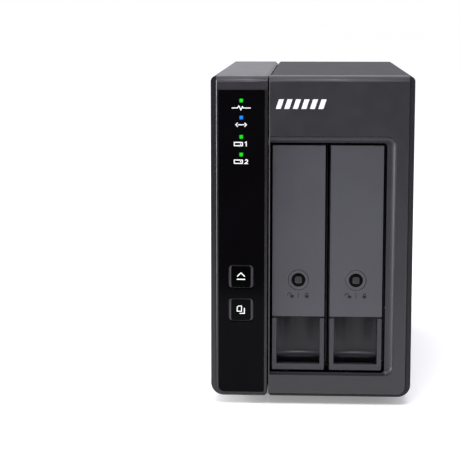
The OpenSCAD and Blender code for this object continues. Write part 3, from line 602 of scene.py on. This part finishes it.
def cross_screw(name, node, slot, at, radius, back, front, shank, depth):
    """A pan-head screw, its head from back to front (mm) with a cross recess in a rounded cap."""
    cap = 0.8
    dome = [(shank, depth), (shank, back), (radius - 0.15, back), (radius, back + 0.15), (radius, front - cap)]
    core = [(r, y - depth) for r, y in dome]
    screw = turned(name, core, (at[0], depth, at[1]), (0, 1, 0), "chassis", FINISHES[slot], 32)
    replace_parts(screw, node)
    rim = [arc((0, 0), radius - 0.25, 0, 348.75, 31), cross(radius * 0.55, radius * 0.13)]
    top = plate(name + "_cap", rim, at, front, cap, "chassis", FINISHES[slot], "+Y")
    dressed(top, FINISHES[slot], 0.12 * MM)
    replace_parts(top, node)


def corner_screws(name, slot, radius, seat, shank):
    """A screw at each corner of the node that holds them, with its head's back at seat (mm)."""
    node = name + "s"
    low, high = (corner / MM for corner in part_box(node))
    spots = [(x, z) for x in (low.x + radius, high.x - radius) for z in (low.z + radius, high.z - radius)]
    for number, spot in enumerate(spots, 1):
        cross_screw(f"{name}_{number}", node, slot, spot, radius, seat, high.y, shank, low.y)


FAN_HEAD = 1.7
corner_screws("fan_screw", "screw_steel", 3.6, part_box("fan_screws")[1].y / MM - FAN_HEAD, 2.1)
corner_screws("panel_screw", "screw_black", 2.8, REAR_Y, 1.35)

DIRECT = [box_loop(-1.7, 0.35, 1.7, 0.75)] + [box_loop(x, -0.5, x + 0.8, -0.1) for x in (-1.7, -0.4, 0.9)]
PLUG = [box_loop(-1.3, -1.2, 1.3, 0.4, 0.4), box_loop(-0.8, 0.6, 0.8, 1.3), box_loop(-0.25, -2.2, 0.25, -1.3)]
DIGITS = stroke([(-1.9, 0.7), (-1.3, 1.1), (-1.3, -1.1)], 0.4) + stroke(digit_two(1.5), 0.4)
RESET = stroke(arc((0, 0), 1.1, 60, 340, 18), 0.35) + [[(0.5, 1.5), (1.5, 1.3), (0.8, 0.5)]]
jack, usb, dip, knob = (middle(node) for node in ("dc_jack", "usb_c_port", "dip_switch", "set_button"))
rear_marks = (
    ("power", DIRECT, (jack.x + 10.5, jack.z)),
    ("usb", PLUG, (usb.x + 6.5, usb.z)),
    ("dip", DIGITS, (dip.x + 8.5, dip.z)),
    ("set", RESET, (knob.x + 5.5, knob.z)),
    ("slot", SHUT_LOCK, (30, 40.5)),
)
for name, loops, at in rear_marks:
    sign(f"rear_mark_{name}", loops, at, REAR_Y, "chassis", facing="+Y")


def text_rows(left, height, rows):
    """Plain bars in place of text, from each row's height above the label's middle and its length."""
    return [box_loop(left, z, left + length, z + height) for z, length in rows]


def barcode(left, low, high, bars):
    """Upright bars, from each one's distance from the left and its width."""
    return [box_loop(left + x, low, left + x + width, high) for x, width in bars]


LABEL = printed("LabelFoil", "#b9babd", 0.4)
RATING_ROWS = ((5.6, 11), (4.2, 16), (2.8, 14), (1.4, 17), (0.0, 9))
RATING_BARS = (
    (0, 0.5), (1.1, 0.9), (2.6, 0.4), (3.6, 0.8), (5.2, 0.4),
    (6.2, 1.1), (8.0, 0.5), (9.2, 0.9), (10.9, 0.4), (12.0, 0.7),
)
rating_print = text_rows(-9, 0.5, RATING_ROWS) + barcode(-9, -6.2, -2.6, RATING_BARS)
sign("rating_label", [box_loop(-9.6, -8, 9.6, 8, 1)], (36.4, 56), REAR_Y, "chassis", LABEL, "+Y")
sign("rating_label_lines", rating_print, (36.6, 56), REAR_Y + 0.02, "chassis", INK_DARK, facing="+Y")


# ---------------------------------------------------------------- hard drives
SPINDLE = (16, 0)
DRIVE_ROWS = ((20, 26), (16.5, 34), (13, 30), (9.5, 36), (6, 18), (-8, 22), (-11.5, 30))
DRIVE_BARS = (
    (0, 0.8), (1.6, 1.4), (4.2, 0.6), (5.9, 1.2), (8.6, 0.6), (10.2, 1.8),
    (13.4, 0.8), (15.2, 1.4), (18, 0.6), (19.6, 1.2), (22.2, 0.8), (24, 1.6),
)


def lid_platform(reach, rise):
    """The raised part: round over the platters, narrower over the arm, with holes for hub and filter."""
    shoulder, tip = -reach + 14, -reach + 4
    arm_end = [(-8, 40), (shoulder, 40), (tip, 30), (tip, -30), (shoulder, -40), (-8, -40)]
    return [
        arc(SPINDLE, rise - 2, -125, 125, 40) + arm_end,
        arc(SPINDLE, 6.5, 0, 348.75, 31),
        arc((-reach + 15, -28), 4, 0, 345, 23),
    ]


def lid_screws(reach, rise):
    """Outlines of the lid's screw heads and their sockets."""
    spots = [(sy * (reach - 4.5), sz * (rise - 4.5)) for sy in (-1, 1) for sz in (-1, 1)]
    spots += [(-18, 45.5), (-18, -45.5)]
    rings = [arc(spot, 2.3, 0, 345, 23) for spot in spots]
    sockets = [[(spot[0] + y, spot[1] + z) for y, z in arc((0, 0), 1.1, 0, 300, 5)] for spot in spots]
    return rings + sockets


for n in (1, 2):
    low, high = (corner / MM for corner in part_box(f"hdd_lid_{n}"))
    centre = ((low.y + high.y) / 2, (low.z + high.z) / 2)
    reach, rise = (high.y - low.y) / 2, (high.z - low.z) / 2
    body = f"tray_{n}"
    steel, bright, black = (FINISHES[slot] for slot in ("drive_lid", "screw_steel", "screw_black"))
    base = [box_loop(-reach, -rise, reach, rise, 5)]
    lid = plate(f"drive_lid_base_{n}", base, centre, high.x - 0.4, 0.8, body, steel, "+X")
    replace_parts(dressed(lid, steel, 0.2 * MM), f"hdd_lid_{n}")
    raised = lid_platform(reach, rise)
    top = plate(f"drive_lid_top_{n}", raised, centre, high.x, 0.4, body, steel, "+X")
    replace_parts(dressed(top, steel, 0.18 * MM), f"hdd_lid_{n}")
    spindle = [arc(SPINDLE, 5.2, 0, 348.75, 31), cross(2.2, 0.5)]
    hub = plate(f"drive_hub_{n}", spindle, centre, high.x - 0.1, 0.4, body, bright, "+X")
    dressed(hub, bright, 0.12 * MM)
    screws = lid_screws(reach, rise)
    proud = high.x - 0.05
    heads = plate(f"drive_lid_screws_{n}", screws, centre, proud, 0.35, body, black, "+X")
    dressed(heads, black, 0.08 * MM)
    sign(f"drive_label_{n}", [box_loop(-50, -26, -8, 26, 1.5)], centre, high.x, body, LABEL, "+X")
    drive_print = text_rows(-47, 0.9, DRIVE_ROWS) + barcode(-47, -23, -15, DRIVE_BARS)
    sign(f"drive_label_lines_{n}", drive_print, centre, high.x + 0.02, body, INK_DARK, "+X")


# ---------------------------------------------------------------- studio
BACKDROP = 1.0
FLOOR_R = 30
FLOOR_FRONT = -0.42


def studio_floor():
    """A large pale disc."""
    made = bmesh.new()
    bmesh.ops.create_circle(made, cap_ends=True, radius=FLOOR_R, segments=128)
    mesh = bpy.data.meshes.new("studio_floor")
    made.to_mesh(mesh)
    made.free()
    floor = bpy.data.objects.new("studio_floor", mesh)
    bpy.context.scene.collection.objects.link(floor)
    paper = Finish("StudioPaper", Specular_IOR_Level=0.0)
    white = linear("#f6f6f6")
    paper.colour(paper.mixed(paper.ranged(paper.noise(0.4, 2), 0, 1), white, scaled(white, 0.985)))
    paper.roughness(paper.ranged(paper.noise(0.01, 2), 0.85, 0.95))
    paper.shader.inputs["Emission Color"].default_value = (1, 1, 1, 1)
    paper.shader.inputs["Emission Strength"].default_value = 0.25
    mesh.materials.append(paper.material)
    floor.location.y = FLOOR_R + FLOOR_FRONT


def softbox(name, place, target, size, power):
    """A rectangular area light at place, aimed at target."""
    light = bpy.data.lights.new(name, "AREA")
    light.shape = "RECTANGLE"
    light.size, light.size_y = size
    light.energy = power
    lamp_object = bpy.data.objects.new(name, light)
    lamp_object.location = place
    lamp_object.rotation_mode = "QUATERNION"
    lamp_object.rotation_quaternion = (Vector(target) - Vector(place)).to_track_quat("-Z", "Y")
    bpy.context.scene.collection.objects.link(lamp_object)


def studio_world(front, around, back, left, right):
    """Soft light, dim straight ahead and of its own strength on each side, before a plain backdrop."""
    world = bpy.data.worlds.new("studio")
    world.use_nodes = True
    tree = world.node_tree
    light = tree.nodes["Background"]
    where = tree.nodes.new("ShaderNodeTexCoord").outputs["Generated"]
    split = tree.nodes.new("ShaderNodeSeparateXYZ")
    tree.links.new(where, split.inputs[0])
    strength = None
    ramps = (
        ("Y", -0.95, -0.6, front, around),
        ("Y", 0.2, 0.9, 1, back / around),
        ("X", -1, 1, left, right),
        ("Z", -0.2, 0.05, 0.25, 1),
    )
    for axis, start, stop, low, high in ramps:
        ramp = tree.nodes.new("ShaderNodeMapRange")
        ramp.interpolation_type = "SMOOTHSTEP"
        for name, number in (("From Min", start), ("From Max", stop), ("To Min", low), ("To Max", high)):
            ramp.inputs[name].default_value = number
        tree.links.new(split.outputs[axis], ramp.inputs["Value"])
        if strength is None:
            strength = ramp.outputs["Result"]
            continue
        product = tree.nodes.new("ShaderNodeMath")
        product.operation = "MULTIPLY"
        tree.links.new(strength, product.inputs[0])
        tree.links.new(ramp.outputs["Result"], product.inputs[1])
        strength = product.outputs[0]
    tree.links.new(strength, light.inputs["Strength"])
    light.inputs["Color"].default_value = (0.98, 0.965, 1.04, 1)
    plain = tree.nodes.new("ShaderNodeBackground")
    plain.inputs["Color"].default_value = (1, 1, 1, 1)
    plain.inputs["Strength"].default_value = BACKDROP
    choice = tree.nodes.new("ShaderNodeMixShader")
    tree.links.new(tree.nodes.new("ShaderNodeLightPath").outputs["Is Camera Ray"], choice.inputs["Fac"])
    tree.links.new(light.outputs[0], choice.inputs[1])
    tree.links.new(plain.outputs[0], choice.inputs[2])
    tree.links.new(choice.outputs[0], tree.nodes["World Output"].inputs["Surface"])
    bpy.context.scene.world = world


studio_floor()
studio_world(front=0.12, around=0.9, back=1.0, left=1.15, right=0.8)
softbox("overhead", (-0.1, 0.1, 1.5), (0, 0, 0.1), (1.2, 1.2), 4)
softbox("key", (0.0, -1.0, 1.25), (0, -0.1, 0.08), (0.7, 0.5), 12)
softbox("left", (-1.4, -0.29, 0.12), (0, -0.1, 0.09), (0.5, 1.0), 36)
bpy.context.scene.view_settings.view_transform = "Standard"

camera_data = bpy.data.cameras.new("camera")
camera_data.lens = 119.1
camera_data.sensor_width = 36
camera_data.clip_start, camera_data.clip_end = 0.01, 20
camera = bpy.data.objects.new("camera", camera_data)
camera.location = (-0.0004, CAD_BOX[0].y - 0.762, 0.2014)
camera.rotation_euler = (math.radians(90 - 8.24), 0, math.radians(3.07))
bpy.context.scene.collection.objects.link(camera)
bpy.context.scene.camera = camera
